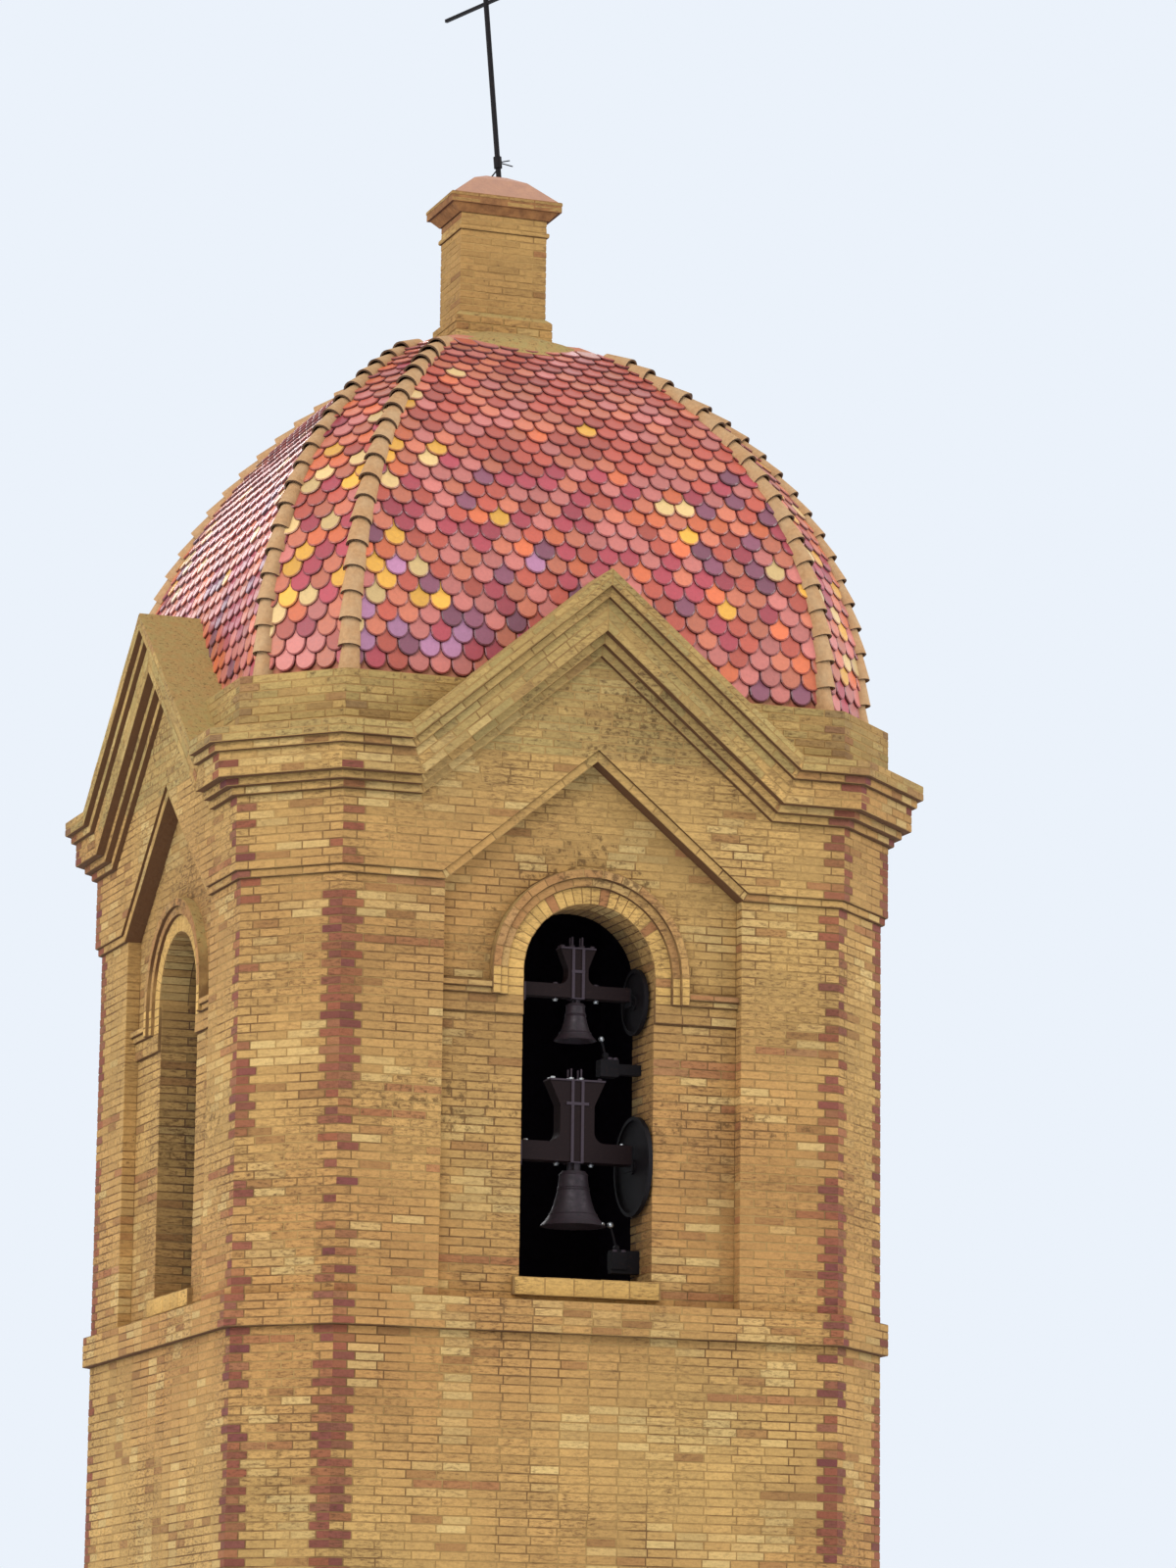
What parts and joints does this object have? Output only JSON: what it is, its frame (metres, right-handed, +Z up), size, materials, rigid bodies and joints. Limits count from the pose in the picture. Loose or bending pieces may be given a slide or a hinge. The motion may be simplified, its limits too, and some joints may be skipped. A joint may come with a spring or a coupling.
{
  "type": "bell tower",
  "caption": "Octagonal brick bell tower: arched belfry openings under gabled cornices, ribbed tiled dome, pedestal and iron cross, with two swinging bells.",
  "frame": {"origin": "ground level on the tower's vertical axis", "axes": "+Z up, the face with the bells towards -Y, +X to the right seen from the front"},
  "size_m": [5.816, 5.816, 16.9883],
  "materials": {
    "arch_brick": "yellow brick voussoirs",
    "brick": "weathered ochre brick in lime mortar",
    "bronze": "dark weathered bell bronze",
    "coping": "mossy brick and mortar weathering",
    "dark_iron": "rusted wrought iron",
    "dome_tile": "random glazed scale tiles",
    "mortar": "lime mortar",
    "painted_iron": "dark painted iron",
    "painted_timber": "dark painted timber",
    "rib_tile": "unglazed barrel tiles"
  },
  "bodies": {
    "tower": {"plinth": "brick", "lower_shaft": "brick", "base_band": "brick", "window_sills": "brick", "imposts": "brick", "string_course": "brick", "frieze": "brick", "cornice": "brick", "parapet": "brick", "pedestal_shaft": "brick", "belfry_floor": "brick", "gable_coping": "coping", "pedestal_cap": "coping", "dome_shell": "dome_tile", "dome_ribs": "rib_tile", "dome_collar": "mortar", "corner_pier_front_right": "brick", "corner_pier_back_right": "brick", "corner_pier_back_left": "brick", "corner_pier_front_left": "brick", "arch_wall_front": "brick", "archivolt_front": "arch_brick", "arch_wall_right": "brick", "archivolt_right": "arch_brick", "arch_wall_back": "brick", "archivolt_back": "arch_brick", "arch_wall_left": "brick", "archivolt_left": "arch_brick", "bearings": "dark_iron", "hammer_units": "painted_iron", "iron_cross": "dark_iron"},
    "large_bell": {"large_bell": "bronze", "large_yoke": "painted_timber", "large_straps": "dark_iron", "large_wheel": "painted_iron"},
    "small_bell": {"small_bell": "bronze", "small_yoke": "painted_timber", "small_straps": "dark_iron", "small_wheel": "painted_iron"},
    "large_hammer": {"large_hammer": "dark_iron"},
    "small_hammer": {"small_hammer": "dark_iron"}
  },
  "joints": [
    {"name": "large_bell_swing", "type": "hinge", "parent": "tower", "child": "large_bell", "pos_m": [0, -2.2, 6.607], "axis": [1, 0, 0], "continuous": true},
    {"name": "small_bell_swing", "type": "hinge", "parent": "tower", "child": "small_bell", "pos_m": [0, -2.2, 7.865], "axis": [1, 0, 0], "continuous": true},
    {"name": "large_hammer_strike", "type": "hinge", "parent": "tower", "child": "large_hammer", "pos_m": [0.35, -2.2, 5.985], "axis": [0, -1, 0], "range_deg": [0, 6.7]},
    {"name": "small_hammer_strike", "type": "hinge", "parent": "tower", "child": "small_hammer", "pos_m": [0.245, -2.2, 7.445], "axis": [0, -1, 0], "range_deg": [0, 9.4]}
  ]
}
